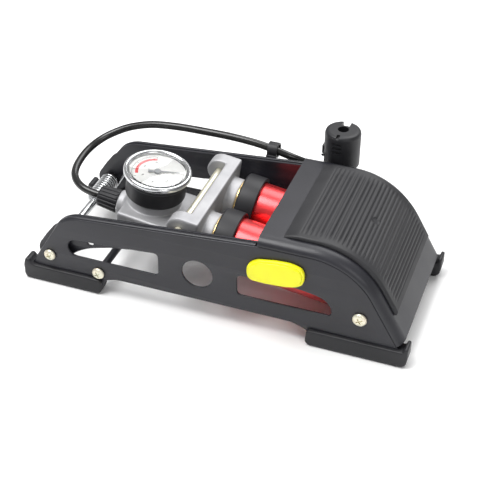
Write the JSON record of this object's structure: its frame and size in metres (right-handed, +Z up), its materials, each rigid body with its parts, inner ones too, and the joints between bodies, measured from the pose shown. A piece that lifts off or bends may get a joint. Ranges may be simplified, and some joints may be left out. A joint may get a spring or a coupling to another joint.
{
  "type": "foot air pump",
  "caption": "Foot-operated air pump with a hinged steel pedal, parallel piston barrels, a dial gauge and a hose with a lever chuck, folded flat and latched.",
  "frame": {"origin": "on the floor under the middle of the pump without its hose and chuck", "axes": "+X along the pump from the hinge end to the pedal end, +Y towards the hose side, +Z up"},
  "size_m": [0.3, 0.1936, 0.101],
  "materials": {
    "black_paint": "satin",
    "black_plastic": "matte, fine grain",
    "black_rubber": "dull, smooth",
    "bright_steel": "bright plated steel",
    "yellow_zinc": "yellow passivated zinc plate",
    "cast_aluminium": "as cast, fine blasted grain",
    "red_anodised": "red anodised, glossy",
    "yellow_plastic": "moulded, slight gloss",
    "brass": "turned",
    "white_card": "printed dial face",
    "clear_lens": "clear, polished"
  },
  "bodies": {
    "base": {"near_side_plate": "black_paint", "far_side_plate": "black_paint", "near_hinge_end_shoe": "black_plastic", "far_hinge_end_shoe": "black_plastic", "near_pedal_end_shoe": "black_plastic", "far_pedal_end_shoe": "black_plastic", "near_hinge_screw": "yellow_zinc", "far_hinge_screw": "yellow_zinc", "near_spacer_screw": "yellow_zinc", "far_spacer_screw": "yellow_zinc", "near_pivot_screw": "yellow_zinc", "far_pivot_screw": "yellow_zinc", "near_pivot_sleeve": "black_plastic", "far_pivot_sleeve": "black_plastic", "hinge_axle": "bright_steel", "spacer_rod": "black_paint", "rear_pivot_rod": "bright_steel", "middle_pivot_sleeve": "black_plastic", "return_spring": "bright_steel", "hose": "black_rubber", "hose_clip": "black_plastic", "chuck_grip": "black_plastic", "chuck_head": "black_plastic", "chuck_holder": "black_plastic"},
    "pedal": {"near_pedal_arm": "black_paint", "far_pedal_arm": "black_paint", "near_hinge_bush": "black_plastic", "far_hinge_bush": "black_plastic", "pedal_cover": "black_paint", "foot_pad": "black_rubber"},
    "pistons": {"near_piston": "black_plastic", "far_piston": "black_plastic", "near_piston_seal": "black_rubber", "far_piston_seal": "black_rubber", "near_piston_rod": "bright_steel", "far_piston_rod": "bright_steel"},
    "head": {"head_casting": "cast_aluminium", "head_pin": "yellow_zinc", "near_seal_ring": "brass", "far_seal_ring": "brass", "near_cylinder_cap": "black_plastic", "far_cylinder_cap": "black_plastic", "near_barrel": "red_anodised", "far_barrel": "red_anodised", "near_barrel_end": "black_plastic", "far_barrel_end": "black_plastic", "gauge_body": "black_plastic", "gauge_stem": "brass", "gauge_bezel": "bright_steel", "gauge_dial": "white_card", "gauge_lens": "clear_lens", "hose_nut": "black_plastic", "hose_tail": "black_plastic"},
    "needle": {"gauge_needle": "black_paint"},
    "latch": {"latch_knob": "yellow_plastic", "latch_hook": "bright_steel"},
    "lever": {"chuck_lever": "black_plastic"}
  },
  "joints": [
    {"name": "pedal_hinge", "type": "hinge", "parent": "base", "child": "pedal", "pos_m": [-0.127, -0.0097, 0.0258], "axis": [0, -1, 0], "range_deg": [0, 40], "deforming": ["hose", "return_spring"]},
    {"name": "rod_swing", "type": "hinge", "parent": "base", "child": "pistons", "pos_m": [0.1137, -0.0097, 0.0331], "axis": [0, 1, 0], "range_deg": [0, 13.5]},
    {"name": "barrel_slide", "type": "slide", "parent": "pistons", "child": "head", "axis": [-0.9898, 0, 0.1428], "range_m": [0, 0.0656]},
    {"name": "needle_turn", "type": "hinge", "parent": "head", "child": "needle", "pos_m": [-0.05785, -0.0177, 0.0847], "axis": [-0.1428, 0, -0.9898], "range_deg": [0, 270], "stiffness_Nm_per_rad": 0.0001},
    {"name": "latch_slide", "type": "slide", "parent": "base", "child": "latch", "axis": [1, 0, 0], "range_m": [0, 0.0075]},
    {"name": "lever_turn", "type": "hinge", "parent": "base", "child": "lever", "pos_m": [0.0606, 0.0709, 0.095], "axis": [1, 0, 0], "range_deg": [0, 90]}
  ],
  "couplings": [
    {"joint": "rod_swing", "follows": "pedal_hinge", "ratio": 0.3343},
    {"joint": "barrel_slide", "follows": "pedal_hinge", "m_per_rad": 0.09375}
  ]
}
